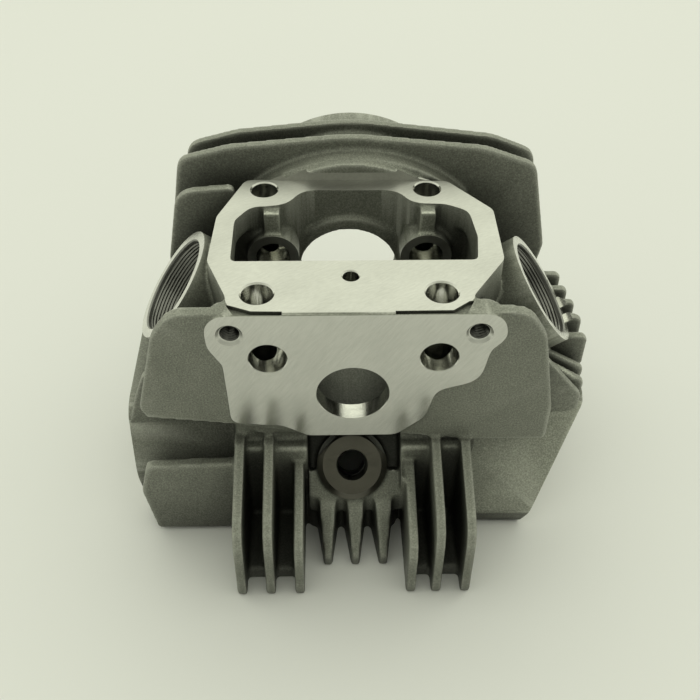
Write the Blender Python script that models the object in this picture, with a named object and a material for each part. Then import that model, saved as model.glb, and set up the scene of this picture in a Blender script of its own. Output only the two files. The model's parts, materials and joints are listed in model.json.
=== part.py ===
"""Air-cooled cylinder head of a small horizontal single: the casting and its two valve sets.

Design frame, in millimetres: +X to the intake side, -Y to the cam cover side, +Y to the chain
side, +Z from the deck (z = 0) to the top cover face. Everything is built there, then shifted so
that the middle of the part stands over the origin, and scaled to metres.
"""

import math

import bmesh
import bpy
from mathutils import Matrix, Vector

MM = 0.001
ORIGIN = Vector((3.775, -1.783, 0.0))

# Main levels and axes.
DECK_Z = 0.0
TOP_Z = 90.0
OVERSHOOT = 8.0
CENTRE_X = 1.0
CAM_Z = 58.9
CAM_TUNNEL_R = 16.5
CAM_TUNNEL_Y = (-29.0, 40.0)
CAM_RING_R = 21.0
CAM_RING_Y = (23.7, 28.0)
CAM_FRONT_BORE_R = 10.6
CAM_FRONT_BORE_Y = (-45.0, -8.0)
ROCKER_XS = (-23.4, 25.6)
ROCKER_Z = 73.4
ROCKER_BORE_R = 5.4
ROCKER_BORE_Y = (-45.0, 24.0)
ROCKER_BOSS_R = 8.3
ROCKER_BOSS_Y = (12.0, 20.0)
ROCKER_RIB_HALF_T = 2.5
ROCKER_RIB_Y = (13.6, 20.0)
ROCKER_RIB_TOP_Z = 89.0
ROCKER_ROOM_FLOOR_Z = 52.0
ROCKER_BAY = ((-36, 47, 3), (39, 47, 3), (39, 82, 3), (-36, 82, 3))
ROCKER_BAY_Y = (-11.2, 15.5)
FRONT_FACE_Y = -35.2
FRONT_PAD_BACK_Y = -28.0
BACK_FACE_Y = 62.0

# Cylinder studs and small drillings: (x, y, radius).
STUD_HOLES = ((-26.0, -25.8, 4.5), (26.0, -25.8, 4.5), (-26.0, 25.8, 4.05), (26.0, 25.8, 4.05))
OIL_HOLE = (0.5, -18.2, 2.3)
OIL_HOLE_BOTTOM_Z = 74.0
TAPPED_M6_R = 2.6
TAPPED_DEPTH = 14.0
FRONT_BOLTS = ((-33.7, 82.6), (36.2, 82.6))

# Outlines are corner lists (across, up, corner radius).
TOP_FACE = (
    (-32.2, 31.3, 3), (-40.1, 11, 4), (-41.2, -10.9, 4), (-33.3, -30.8, 2),
    (-27.2, -33.5, 1), (28.2, -33.8, 1), (33.3, -29.7, 2), (45.7, -11, 4),
    (45.7, 14, 4), (32.8, 30.1, 3),
)
TOP_OPENING = (
    (-34.5, -11.2, 1.2), (37.9, -11.2, 1.2), (39.2, 0, 6), (38.0, 13.5, 5), (31, 17.2, 6),
    (20.5, 18.0, 6), (16.5, 25.1, 7), (-14.0, 25.3, 7), (-18.5, 17.5, 7), (-30, 16.0, 5),
    (-34.5, 9, 5),
)
ROCKER_BOX_Z = 40.0
CORE_TOP_Z = 64.0
CORE = (
    (-35, -32, 3), (37, -32, 3), (41, -18, 4), (41, 30, 4), (33, 50, 4),
    (-31, 50, 4), (-38, 30, 4), (-38, -18, 4),
)
MACHINED_FACE = (
    (-40.8, 89.7, 6), (-40.2, 78, 6), (-36.3, 71, 4), (-35.5, 46.9, 3), (-20, 45.5, 6),
    (-12.5, 40.9, 3), (14.5, 40.9, 5), (23, 49, 6), (25.5, 60, 5), (38, 64, 7),
    (40, 76, 5), (44.2, 81, 5), (43, 89.7, 6),
)
FRONT_PLATE = (
    (-50, 89.6, 8), (-56, 81, 12), (-62.9, 52.5, 5), (-61, 48.5, 2), (-35.4, 45.2, 1),
    (-11, 40.2, 1), (14, 40.2, 1), (36.7, 37.1, 1), (61.7, 37.1, 1.5), (61.7, 50, 8),
    (56, 80, 12), (50, 89.4, 8),
)
FRONT_PLATE_Y = (-34.2, -30.6)
BACK_PLATE_1 = (
    (-61.5, 52, 6), (-54.6, 93.4, 5), (-38, 97.8, 14), (1.5, 101.6, 60), (46, 97.0, 20),
    (63.5, 90.5, 6), (70.4, 58, 8), (62, 9, 8), (-52, 9, 8),
)
BACK_PLATE_1_Y = (38.0, 41.2)
BACK_PLATE_2 = (
    (-57, 58, 8), (-52.6, 92.0, 6), (-36, 96.6, 14), (2, 100.6, 60), (50, 94.6, 20),
    (64.6, 88.6, 6), (69, 58, 8), (60, 11, 8), (-50, 11, 8),
)
BACK_PLATE_2_Y = (49.5, 52.7)
LEFT_SMALL_PLATE = ((-59.8, 60, 2), (-54.4, 89.0, 7), (-36, 90.8, 2), (-30, 60, 1))
LEFT_SMALL_PLATE_Y = (25.6, 28.8)
BACK_ARCH_Y = (32.0, 38.5)
BACK_ARCH_R = 52.0
BACK_ARCH_CENTRE = (3.0, 45.0)
BACK_ARCH_X = (-32.0, 40.0)
BACK_ARCH_FOOT_Z = 40.0
BACK_ARCH_STEPS = 20

# Cooling fins. Side fins stand across Y, front fins across X.
FIN_T = 2.8
LEFT_FIN = (
    (-36, 56.5, 1), (-62.6, 57, 3), (-67.0, 45, 6), (-70.0, 34, 1), (-69.4, 29, 1), (-36, 29, 1),
)
LEFT_FIN_YS = (-22.0, -13.0, -4.0, 5.0, 14.0, 22.0)
LEFT_FIN_BACKSET = 0.94
RIGHT_FIN_ROOT_X = 40.0
RIGHT_FIN_FOOT = ((73.4, 38.2, 1), (RIGHT_FIN_ROOT_X, 34, 1))
RIGHT_FIN_FILLING = ((40, 34), (66, 36), (70, 42), (66, 52), (40, 52))
RIGHT_FIN_FILLING_Y = (-4.0, 22.0)
RIGHT_FIN_LIP_Z = 41.4
RIGHT_FIN_CORNERS = (
    (-22.0, 61.0, 60.5, 73.8, 44.8), (-15.8, 62.0, 54.0, 76.0, 44.6), (-9.9, 62.0, 54.0, 76.9, 45.0),
    (-4.0, 66.0, 54.2, 78.0, 53.4), (2.5, 66.0, 56.0, 77.3, 55.6), (9.0, 66.0, 57.1, 76.0, 56.8),
    (15.5, 64.0, 57.6, 74.7, 57.2), (22.0, 62.0, 58.5, 73.4, 58.2),
)
OUTER_FRONT_FIN = (
    (-30, 38.5, 1), (-36.5, 38.5, 2), (-64.8, 29.0, 8), (-65.6, 0, 1.2), (-30, 0, 0.8),
)
INNER_FRONT_FIN = (
    (-30, 30.5, 1), (-38, 30.5, 2), (-64.8, 22.6, 6), (-65.6, 0, 1.2), (-30, 0, 0.8),
)
OUTER_FRONT_FIN_XS = (-33.8, -24.8, 27.0, 36.2)
INNER_FRONT_FIN_XS = (-15.7, 19.1)
FRONT_FIN_ROOT_Y = -36.4
FRONT_FIN_TIP_Y = -65.0
FRONT_FIN_ROOT_T = 3.2
FRONT_FIN_TIP_T = 3.0
PLUG_FIN = ((-34, 24, 1), (-45.5, 20, 2), (-55.4, 5, 2), (-55.0, 0, 1), (-34, 0, 0.6))
PLUG_FIN_XS = (-6.8, 2.0, 10.9)
PLUG_FIN_ROOT_Y = -43.5
PLUG_FIN_TIP_Y = -54.5
PLUG_FIN_ROOT_T = 5.8
PLUG_FIN_TIP_T = 2.6
FRONT_WALL = ((-34, -36.4, 2), (36.5, -36.4, 2), (36.5, -28, 1), (-34, -28, 1))
FRONT_WALL_Z = 36.0
PLUG_WALL = ((-13, -39.6, 2), (16, -39.6, 2), (16, -30, 1), (-13, -30, 1))
PLUG_WALL_Z = 24.0
FRONT_BASES = ((-33.8, -15.7), (19.1, 36.2))
FRONT_BASE_Y = (-58.8, -34.0)
FRONT_BASE_Z = 4.6
WING = ((-33, 33.2, 1), (-63, 31.8, 2), (-65.8, 20, 6), (-62.9, 1, 1), (-33, 0.6, 1))
WING_Y = (-40.0, -36.4)

# Spark plug boss, in the plane x = CENTRE_X, leaning 45 degrees.
PLUG_FACE = Vector((CENTRE_X, -38.6, 30.6))
PLUG_OUT = Vector((0, -math.sqrt(0.5), math.sqrt(0.5)))
PLUG_BOSS_R = 11.0
PLUG_HOLE_R = 4.5
PLUG_HOLE_DEPTH = 36.0
PLUG_BOSS_DEPTH = 20.0
PLUG_RECESS = ((-62, 40.2), (-62, 8), (-46.4, 18.6), (-37.9, 27.1), (-33.6, 22.8), (-16.3, 40.2))
PLUG_RECESS_X = (-12.8, 16.2)
PLUG_PANEL = ((-12.6, 13.5, 1), (17.0, 13.5, 1), (17.0, 31.5, 2), (-12.6, 31.5, 2))
PLUG_PANEL_Y = (-43.5, -34.0)

# Port ducts: section across X (y, z, corner radius), and a flange face x = foot + slope * z.
PORT_Z = 18.5
PORT_ROOT = 18.0
PORT_END = 85.0
INTAKE_DUCT = {
    "section": (
        (-20.8, 40.5, 4), (-39.6, 6.6, 3), (-38.6, 0.8, 1), (31, 0.8, 4), (34, 15, 10), (18, 40.5, 10),
    ),
    "root": 34.0, "foot": 57.2, "slope": 0.47,
}
EXHAUST_DUCT = {
    "section": (
        (-21, 38.8, 10), (-33.4, 20, 10), (-31, 0.8, 4), (31, 0.8, 4), (33.4, 20, 10), (21, 38.8, 10),
    ),
    "root": -32.0, "foot": -65.6, "slope": -0.125,
}
INTAKE_PORT_R = 10.5
EXHAUST_PORT_R = 9.5
INTAKE_BOLT_Y = 24.0
EXHAUST_BOLT_Y = 22.5

# Tappet openings: centre of the machined ring, outward direction, radii.
TAPPETS = {
    "intake": {"face": Vector((61.4, 0, 69.9)), "lift_deg": 35.0, "side": 1, "boss_r": 18.3},
    "exhaust": {"face": Vector((-54.3, 0, 72.6)), "lift_deg": 37.0, "side": -1, "boss_r": 18.5},
}
TAPPET_BORE_R = 14.9
TAPPET_BORE_DEPTH = 30.0
TAPPET_BOSS_DEPTH = 27.0

# Chain side.
HOUSING_X = 2.0
HOUSING_R = 38.0
HOUSING_Y = (29.0, BACK_FACE_Y)
SPROCKET_CHAMBER_R = 31.5
SPROCKET_CHAMBER_Y = (34.5, 66.0)
COVER_BOLT_RADIUS = 35.5
COVER_BOLT_BOSS_R = 6.0
COVER_BOLT_BOSS_Y = (42.0, BACK_FACE_Y)
COVER_BOLT_ANGLES = (25.0, 155.0, 270.0)
CHAIN_BOX = ((-22, 0, 3), (24, 0, 3), (30, 45, 3), (-28, 45, 3))
CHAIN_BOX_Y = (29.0, 55.0)
CHAIN_SLOT = ((-16, 36, 6), (18, 36, 6), (18, 49, 6), (-16, 49, 6))
CHAIN_SLOT_TOP_Z = 40.0

# Combustion dome: a spherical cap.
DOME_R = 29.1
DOME_CENTRE_Z = -13.1

# Valve sets, along each valve's own axis from its face (s = 0) to its tip.
VALVE_TILT_DEG = 30.0
VALVE_FACE_DISTANCE = 26.6
HEAD_R = {"intake": 11.5, "exhaust": 10.0}
STEM_R = 2.5
VALVE_LENGTH = 64.7
SEAT_S = (0.9, 6.8)
SEAT_WALL = 1.9
GUIDE_S = (17.5, 42.0)
GUIDE_R = 5.0
GUIDE_BORE_R = 2.6
POCKET_S = 33.0
CLIP_GROOVE_S = (35.4, 36.8)
POCKET_R = 12.6
VALVE_BOSS_R = 16.6
VALVE_BOSS_S = (26.0, 62.0)
SPRING_S = (34.9, 58.3)
RETAINER_S = (58.6, 61.6)
COLLET_GROOVE_S = (60.0, 61.2)
COLLET_SWEEP_DEG = 170.0
COLLET_STEPS = 8
OUTER_SPRING = {"mean_r": 9.5, "wire_r": 1.3, "turns": 5.5, "per_turn": 10, "around": 6}
INNER_SPRING = {"mean_r": 6.9, "wire_r": 0.8, "turns": 7, "per_turn": 9, "around": 5}
RUN_GAP = 0.2
FIT_GAP = 0.3
ROUND = 24

METALS = {
    "cast_aluminium": ((0.42, 0.43, 0.41, 1), 0.55),
    "valve_steel": ((0.38, 0.37, 0.36, 1), 0.3),
    "seat_steel": ((0.5, 0.49, 0.47, 1), 0.35),
    "guide_bronze": ((0.55, 0.4, 0.22, 1), 0.4),
    "spring_steel": ((0.2, 0.21, 0.22, 1), 0.35),
    "seal_rubber": ((0.03, 0.05, 0.04, 1), 0.7),
}


def clear_scene():
    for obj in list(bpy.data.objects):
        bpy.data.objects.remove(obj, do_unlink=True)


def new_material(name, kind):
    """A Principled material of its own for one sub-part."""
    colour, roughness = METALS[kind]
    material = bpy.data.materials.new(name)
    material.use_nodes = True
    shader = material.node_tree.nodes["Principled BSDF"]
    shader.inputs["Base Color"].default_value = colour
    shader.inputs["Roughness"].default_value = roughness
    shader.inputs["Metallic"].default_value = 0.0 if kind == "seal_rubber" else 1.0
    return material


def rounded(corners, steps=2):
    """The corner list as points, each corner turned into an arc of its own radius."""
    points = []
    for i, (x, y, radius) in enumerate(corners):
        corner = Vector((x, y))
        before = (Vector(corners[i - 1][:2]) - corner).normalized()
        after = (Vector(corners[(i + 1) % len(corners)][:2]) - corner).normalized()
        half = before.angle(after) / 2
        reach = radius / math.tan(half)
        if half > math.radians(86):
            points.append(corner)
            continue
        centre = corner + (before + after).normalized() * (radius / math.sin(half))
        start = corner + before * reach - centre
        turn = (corner + after * reach - centre).angle_signed(start)
        for k in range(steps + 1):
            angle = turn * k / steps
            spin = Matrix.Rotation(angle, 2)
            points.append(centre + spin @ start)
    return points


def object_from(name, bm):
    """A new scene object from a closed bmesh in millimetres, with its faces turned outwards."""
    bmesh.ops.recalc_face_normals(bm, faces=bm.faces)
    mesh = bpy.data.meshes.new(name)
    bm.to_mesh(mesh)
    bm.free()
    mesh.transform(Matrix.Scale(MM, 4))
    obj = bpy.data.objects.new(name, mesh)
    bpy.context.scene.collection.objects.link(obj)
    return obj


def loft(name, rings):
    """A closed solid through rings of the same number of points, with flat ends."""
    bm = bmesh.new()
    rows = [[bm.verts.new(point) for point in ring] for ring in rings]
    count = len(rows[0])
    for low, high in zip(rows, rows[1:]):
        for i in range(count):
            j = (i + 1) % count
            bm.faces.new((low[i], low[j], high[j], high[i]))
    bm.faces.new(rows[0])
    bm.faces.new(rows[-1])
    return object_from(name, bm)


def across_x(name, outline, low, high):
    return loft(name, [[(x, p[0], p[1]) for p in outline] for x in (low, high)])


def across_y(name, outline, low, high):
    return loft(name, [[(p[0], y, p[1]) for p in outline] for y in (low, high)])


def across_z(name, outline, low, high):
    return loft(name, [[(p[0], p[1], z) for p in outline] for z in (low, high)])


def circle(radius, count):
    steps = [2 * math.pi * i / count for i in range(count)]
    return [Vector((radius * math.cos(a), radius * math.sin(a))) for a in steps]


def rod(name, start, end, radius, end_radius=None, count=ROUND):
    """A round bar or cone between two points."""
    axis = (Vector(end) - Vector(start)).normalized()
    turn = axis.to_track_quat("Z", "Y")
    rings = []
    for centre, r in ((start, radius), (end, end_radius or radius)):
        rings.append([Vector(centre) + turn @ p.to_3d() for p in circle(r, count)])
    return loft(name, rings)


def lathe(name, profile, count=ROUND):
    """A solid of revolution about Z. The profile is a closed list of (radius, height)."""
    bm = bmesh.new()
    rows = []
    for radius, height in profile:
        if radius == 0:
            rows.append([bm.verts.new((0, 0, height))] * count)
        else:
            rows.append([bm.verts.new((p.x, p.y, height)) for p in circle(radius, count)])
    for low, high in zip(rows, rows[1:] + rows[:1]):
        for i in range(count):
            j = (i + 1) % count
            face = list(dict.fromkeys((low[i], low[j], high[j], high[i])))
            if len(face) > 2:
                bm.faces.new(face)
    return object_from(name, bm)


def coil(name, bottom, top, mean_r, wire_r, turns, per_turn, around):
    """A compression spring with one closed turn at each end."""
    closed_pitch = 2 * wire_r + 0.25
    low = bottom + wire_r
    high = top - wire_r
    open_pitch = (high - low - 2 * closed_pitch) / (turns - 2)
    rings = []
    for i in range(round(turns * per_turn) + 1):
        turn = i / per_turn
        height = low + closed_pitch * min(turn, 1) + open_pitch * min(max(turn - 1, 0), turns - 2)
        height += closed_pitch * max(turn - (turns - 1), 0)
        angle = 2 * math.pi * turn
        out = Vector((math.cos(angle), math.sin(angle), 0))
        centre = out * mean_r + Vector((0, 0, height))
        rings.append([centre + out * p.x + Vector((0, 0, p.y)) for p in circle(wire_r, around)])
    return loft(name, rings)


def hide(obj):
    obj.hide_render = True
    obj.display_type = "WIRE"
    return obj


def group(name, objects):
    """A collection of helpers for one Boolean."""
    collection = bpy.data.collections.new(name)
    bpy.context.scene.collection.children.link(collection)
    for obj in objects:
        bpy.context.scene.collection.objects.unlink(obj)
        collection.objects.link(hide(obj))
    return collection


def boolean(obj, operation, collection):
    modifier = obj.modifiers.new(collection.name, "BOOLEAN")
    modifier.operation = operation
    modifier.operand_type = "COLLECTION"
    modifier.collection = collection
    modifier.solver = "EXACT"


def valve_frame(kind):
    """World matrix, in metres, of one valve's axis: origin at the valve face, +Z to the tip."""
    side = 1 if kind == "intake" else -1
    tilt = math.radians(VALVE_TILT_DEG) * side
    turn = Matrix.Rotation(tilt, 4, "Y")
    foot = Vector((CENTRE_X, 0, DOME_CENTRE_Z)) + turn @ Vector((0, 0, VALVE_FACE_DISTANCE))
    return Matrix.Translation((foot - ORIGIN) * MM) @ turn


def on_valve_axis(kind, s):
    """The point at distance s along a valve's axis, in the design frame."""
    side = 1 if kind == "intake" else -1
    turn = Matrix.Rotation(math.radians(VALVE_TILT_DEG) * side, 3, "Y")
    return Vector((CENTRE_X, 0, DOME_CENTRE_Z)) + turn @ Vector((0, 0, VALVE_FACE_DISTANCE + s))


def tappet_direction(kind):
    tappet = TAPPETS[kind]
    lift = math.radians(tappet["lift_deg"])
    return Vector((tappet["side"] * math.cos(lift), 0, math.sin(lift)))


def tapered_fin(name, corners, x, root_y, tip_y, root_t, tip_t):
    """A fin across X that gets thinner from its root to its tip."""
    sides = ([], [])
    for y, z in rounded(corners):
        share = (y - root_y) / (tip_y - root_y)
        half = (root_t + (tip_t - root_t) * share) / 2
        sides[0].append((x - half, y, z))
        sides[1].append((x + half, y, z))
    return loft(name, sides)


def duct_face_x(duct, z):
    """Where a duct's sloping flange face stands at height z."""
    return duct["foot"] + duct["slope"] * z


def duct_normal(duct):
    """Outward normal of a duct's flange face."""
    side = 1 if duct["root"] > 0 else -1
    return Vector((1, 0, -duct["slope"])).normalized() * side


def duct_solid(name, duct):
    section = rounded(duct["section"], 3)
    root = [(duct["root"], y, z) for y, z in section]
    face = [(duct_face_x(duct, z), y, z) for y, z in section]
    return loft(name, [root, face])


def side_shapes():
    """The two port ducts, tappet bosses and valve bosses, and the fins between them."""
    made = [duct_solid("intake_duct", INTAKE_DUCT), duct_solid("exhaust_duct", EXHAUST_DUCT)]
    for kind, tappet in TAPPETS.items():
        face = tappet["face"]
        root = face - tappet_direction(kind) * TAPPET_BOSS_DEPTH
        made.append(rod(kind + "_tappet_boss", root, face, tappet["boss_r"], count=56))
        low, high = (on_valve_axis(kind, s) for s in VALVE_BOSS_S)
        made.append(rod(kind + "_valve_boss", low, high, VALVE_BOSS_R, count=32))
    for y in LEFT_FIN_YS:
        share = 1 if y == LEFT_FIN_YS[0] else LEFT_FIN_BACKSET
        outline = [(p[0] * share, p[1]) for p in rounded(LEFT_FIN, 1)]
        made.append(across_y("left_fin", outline, y - FIN_T / 2, y + FIN_T / 2))
    for y, top_x, top_z, corner_x, corner_z in RIGHT_FIN_CORNERS:
        outline = (
            (RIGHT_FIN_ROOT_X, top_z, 1), (top_x, top_z, 1), (corner_x, corner_z, 1.2),
            (corner_x, RIGHT_FIN_LIP_Z, 1),
        ) + RIGHT_FIN_FOOT
        made.append(across_y("right_fin", rounded(outline, 1), y - FIN_T / 2, y + FIN_T / 2))
    made.append(across_y("right_fin_filling", RIGHT_FIN_FILLING, *RIGHT_FIN_FILLING_Y))
    return made


def front_shapes():
    """The cam cover side: machined face, cast plate, plug boss and the fins under it."""
    made = [
        across_y("machined_face", rounded(MACHINED_FACE, 4), FRONT_FACE_Y, FRONT_PAD_BACK_Y),
        across_y("front_plate", rounded(FRONT_PLATE, 5), *FRONT_PLATE_Y),
        across_y("wing", rounded(WING, 3), *WING_Y),
        across_y("plug_panel", rounded(PLUG_PANEL), *PLUG_PANEL_Y),
        across_z("front_wall", rounded(FRONT_WALL), 0, FRONT_WALL_Z),
        across_z("plug_wall", rounded(PLUG_WALL), 0, PLUG_WALL_Z),
    ]
    front_taper = (FRONT_FIN_ROOT_Y, FRONT_FIN_TIP_Y, FRONT_FIN_ROOT_T, FRONT_FIN_TIP_T)
    plug_taper = (PLUG_FIN_ROOT_Y, PLUG_FIN_TIP_Y, PLUG_FIN_ROOT_T, PLUG_FIN_TIP_T)
    for x in OUTER_FRONT_FIN_XS:
        made.append(tapered_fin("outer_front_fin", OUTER_FRONT_FIN, x, *front_taper))
    for x in INNER_FRONT_FIN_XS:
        made.append(tapered_fin("inner_front_fin", INNER_FRONT_FIN, x, *front_taper))
    for x in PLUG_FIN_XS:
        made.append(tapered_fin("plug_fin", PLUG_FIN, x, *plug_taper))
    for low, high in FRONT_BASES:
        base = ((low, 0), (high, 0), (high, FRONT_BASE_Z), (low, FRONT_BASE_Z))
        made.append(across_y("front_base", base, *FRONT_BASE_Y))
    return made


def back_shapes():
    """The chain side: sprocket housing, chain box, arch and the two large plates."""
    centre_x, centre_z = BACK_ARCH_CENTRE
    left, right = BACK_ARCH_X
    arch = [(right, BACK_ARCH_FOOT_Z), (left, BACK_ARCH_FOOT_Z)]
    for i in range(BACK_ARCH_STEPS + 1):
        x = left + (right - left) * i / BACK_ARCH_STEPS
        arch.append((x, centre_z + math.sqrt(BACK_ARCH_R**2 - (x - centre_x) ** 2)))
    front, back = ((HOUSING_X, y, CAM_Z) for y in HOUSING_Y)
    made = [
        rod("sprocket_housing", front, back, HOUSING_R, count=72),
        across_y("chain_box", rounded(CHAIN_BOX), *CHAIN_BOX_Y),
        across_y("back_arch", arch, *BACK_ARCH_Y),
        across_y("back_plate_1", rounded(BACK_PLATE_1, 4), *BACK_PLATE_1_Y),
        across_y("back_plate_2", rounded(BACK_PLATE_2, 4), *BACK_PLATE_2_Y),
        across_y("left_small_plate", rounded(LEFT_SMALL_PLATE, 4), *LEFT_SMALL_PLATE_Y),
    ]
    for x, z in cover_bolts():
        start, end = ((x, y, z) for y in COVER_BOLT_BOSS_Y)
        made.append(rod("cover_bolt_boss", start, end, COVER_BOLT_BOSS_R))
    return made


def cover_bolts():
    """Centres of the sprocket cover's three bolts."""
    found = []
    for degrees in COVER_BOLT_ANGLES:
        angle = math.radians(degrees)
        x = HOUSING_X + COVER_BOLT_RADIUS * math.cos(angle)
        found.append((x, CAM_Z + COVER_BOLT_RADIUS * math.sin(angle)))
    return found


def hollows():
    """What the cores leave open: ports, chamber, pockets, rocker room and chain room."""
    made = [
        across_x("plug_recess", PLUG_RECESS, *PLUG_RECESS_X),
        across_z("rocker_room", rounded(TOP_OPENING, 3), ROCKER_ROOM_FLOOR_Z, TOP_Z + OVERSHOOT),
        across_y("rocker_bay", rounded(ROCKER_BAY), *ROCKER_BAY_Y),
        bar_along_y("sprocket_room", HOUSING_X, CAM_Z, SPROCKET_CHAMBER_Y, SPROCKET_CHAMBER_R, 48),
        across_z("chain_slot", rounded(CHAIN_SLOT, 3), -OVERSHOOT, CHAIN_SLOT_TOP_Z),
        port_bore("intake_port", 1, INTAKE_PORT_R),
        port_bore("exhaust_port", -1, EXHAUST_PORT_R),
        chamber_dome(),
    ]
    for kind in TAPPETS:
        made += valve_bores(kind)
    return made


def bar_along_y(name, x, z, ends, radius, count=24):
    return rod(name, (x, ends[0], z), (x, ends[1], z), radius, count=count)


def port_bore(name, side, radius):
    """A port from the middle of the chamber wall out through its flange."""
    start = (CENTRE_X + side * PORT_ROOT, 0, PORT_Z)
    return rod(name, start, (side * PORT_END, 0, PORT_Z), radius, count=28)


def chamber_dome():
    """The combustion chamber, a spherical cap turned about the cylinder's axis."""
    profile = [(0, -20), (DOME_R * 0.85, -20)]
    rim = math.degrees(math.asin(-DOME_CENTRE_Z / DOME_R)) - 4
    steps = 7
    for i in range(steps):
        angle = math.radians(rim + (90 - rim) * i / steps)
        profile.append((DOME_R * math.cos(angle), DOME_CENTRE_Z + DOME_R * math.sin(angle)))
    profile.append((0, DOME_CENTRE_Z + DOME_R))
    chamber = lathe("chamber", profile, 48)
    chamber.location.x = CENTRE_X * MM
    return chamber


def valve_bores(kind):
    """The bores that hold one valve set, and the tappet opening above it."""
    head_r = HEAD_R[kind]
    bores = (
        ("throat", -1, 14, head_r - 1.6),
        ("seat_bore", -5, SEAT_S[1] + FIT_GAP, head_r + SEAT_WALL + RUN_GAP),
        ("guide_bore", 10, 36, GUIDE_R + RUN_GAP),
        ("pocket", POCKET_S, 68, POCKET_R),
    )
    made = []
    for name, low, high, radius in bores:
        start, end = on_valve_axis(kind, low), on_valve_axis(kind, high)
        made.append(rod(kind + "_" + name, start, end, radius, count=28))
    face, out = TAPPETS[kind]["face"], tappet_direction(kind)
    bottom, mouth = face - out * TAPPET_BORE_DEPTH, face + out * OVERSHOOT
    made.append(rod(kind + "_tappet_bore", bottom, mouth, TAPPET_BORE_R, count=48))
    return made


def tapped_hole(name, face, out):
    """A blind M6 hole drilled into a face, against its outward direction."""
    return rod(name, face - out * TAPPED_DEPTH, face + out * OVERSHOOT, TAPPED_M6_R, count=16)


def drillings():
    """Bores and bolt holes, cut last."""
    oil_x, oil_y, oil_r = OIL_HOLE
    plug_start = PLUG_FACE - PLUG_OUT * PLUG_HOLE_DEPTH
    made = [
        bar_along_y("cam_tunnel", CENTRE_X, CAM_Z, CAM_TUNNEL_Y, CAM_TUNNEL_R, 32),
        bar_along_y("cam_front_bore", CENTRE_X, CAM_Z, CAM_FRONT_BORE_Y, CAM_FRONT_BORE_R, 40),
        rod("plug_hole", plug_start, PLUG_FACE + PLUG_OUT * OVERSHOOT, PLUG_HOLE_R),
    ]
    oil_ends = [(oil_x, oil_y, z) for z in (OIL_HOLE_BOTTOM_Z, TOP_Z + OVERSHOOT)]
    made.append(rod("oil_hole", *oil_ends, oil_r, count=16))
    for x, y, radius in STUD_HOLES:
        made.append(rod("stud_hole", (x, y, -OVERSHOOT), (x, y, TOP_Z + OVERSHOOT), radius))
    for x in ROCKER_XS:
        made.append(bar_along_y("rocker_bore", x, ROCKER_Z, ROCKER_BORE_Y, ROCKER_BORE_R))
    for x, z in FRONT_BOLTS:
        made.append(tapped_hole("front_bolt_hole", Vector((x, FRONT_FACE_Y, z)), Vector((0, -1, 0))))
    for x, z in cover_bolts():
        made.append(tapped_hole("cover_bolt_hole", Vector((x, BACK_FACE_Y, z)), Vector((0, 1, 0))))
    for duct, bolt_y in ((INTAKE_DUCT, INTAKE_BOLT_Y), (EXHAUST_DUCT, EXHAUST_BOLT_Y)):
        for y in (-bolt_y, bolt_y):
            face = Vector((duct_face_x(duct, PORT_Z), y, PORT_Z))
            made.append(tapped_hole("flange_bolt_hole", face, duct_normal(duct)))
    return made


def inner_bosses():
    """The rocker shaft bosses and the cam tunnel's ring in the rocker room, and the plug boss."""
    made = [bar_along_y("cam_ring", CENTRE_X, CAM_Z, CAM_RING_Y, CAM_RING_R, 40)]
    for x in ROCKER_XS:
        made.append(bar_along_y("rocker_boss", x, ROCKER_Z, ROCKER_BOSS_Y, ROCKER_BOSS_R, 32))
        low, high = x - ROCKER_RIB_HALF_T, x + ROCKER_RIB_HALF_T
        rib = ((low, ROCKER_Z), (high, ROCKER_Z), (high, ROCKER_RIB_TOP_Z), (low, ROCKER_RIB_TOP_Z))
        made.append(across_y("rocker_rib", rib, *ROCKER_RIB_Y))
    root = PLUG_FACE - PLUG_OUT * PLUG_BOSS_DEPTH
    made.append(rod("plug_boss", root, PLUG_FACE, PLUG_BOSS_R, count=40))
    return made


def build_casting():
    casting = across_z("head_casting", rounded(CORE), DECK_Z, CORE_TOP_Z)
    upper = across_z("rocker_box", rounded(TOP_FACE, 3), ROCKER_BOX_Z, TOP_Z)
    shapes = [upper] + side_shapes() + front_shapes() + back_shapes()
    boolean(casting, "UNION", group("cast_shapes", shapes))
    boolean(casting, "DIFFERENCE", group("hollows", hollows()))
    boolean(casting, "UNION", group("bosses", inner_bosses()))
    boolean(casting, "DIFFERENCE", group("drillings", drillings()))
    casting.data.materials.append(new_material("head_casting", "cast_aluminium"))
    return casting


def valve_profile(head_r):
    """Half section of a poppet valve, from the middle of its face to its tip."""
    groove_low, groove_high = COLLET_GROOVE_S
    return [
        (0, 0.5), (head_r * 0.6, 0.5), (head_r - 1.2, 0), (head_r, 0.2), (head_r, 1.2),
        (head_r - 2.0, 3.2), (head_r * 0.6, 4.4), (head_r * 0.4, 6.6), (STEM_R + 0.5, 10), (STEM_R, 14),
        (STEM_R, groove_low), (STEM_R - 0.5, groove_low + 0.3), (STEM_R - 0.5, groove_high - 0.3),
        (STEM_R, groove_high), (STEM_R, VALVE_LENGTH - 0.5), (STEM_R - 0.5, VALVE_LENGTH),
        (0, VALVE_LENGTH),
    ]


def seat_profile(head_r):
    low, high = SEAT_S
    outer, inner = head_r + SEAT_WALL, head_r - 2.1
    return [
        (head_r + 0.45, low), (outer - 0.4, low), (outer, low + 0.4), (outer, high), (inner, high),
        (inner, low + 2.85),
    ]


def guide_profile():
    low, high = GUIDE_S
    groove_low, groove_high = CLIP_GROOVE_S
    return [
        (GUIDE_BORE_R, low), (GUIDE_R - 1.2, low), (GUIDE_R, low + 4),
        (GUIDE_R, groove_low - 0.1), (GUIDE_R - 0.8, groove_low),
        (GUIDE_R - 0.8, groove_high), (GUIDE_R, groove_high + 0.1),
        (GUIDE_R, high - 0.5), (GUIDE_R - 0.5, high), (GUIDE_BORE_R, high),
    ]


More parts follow.
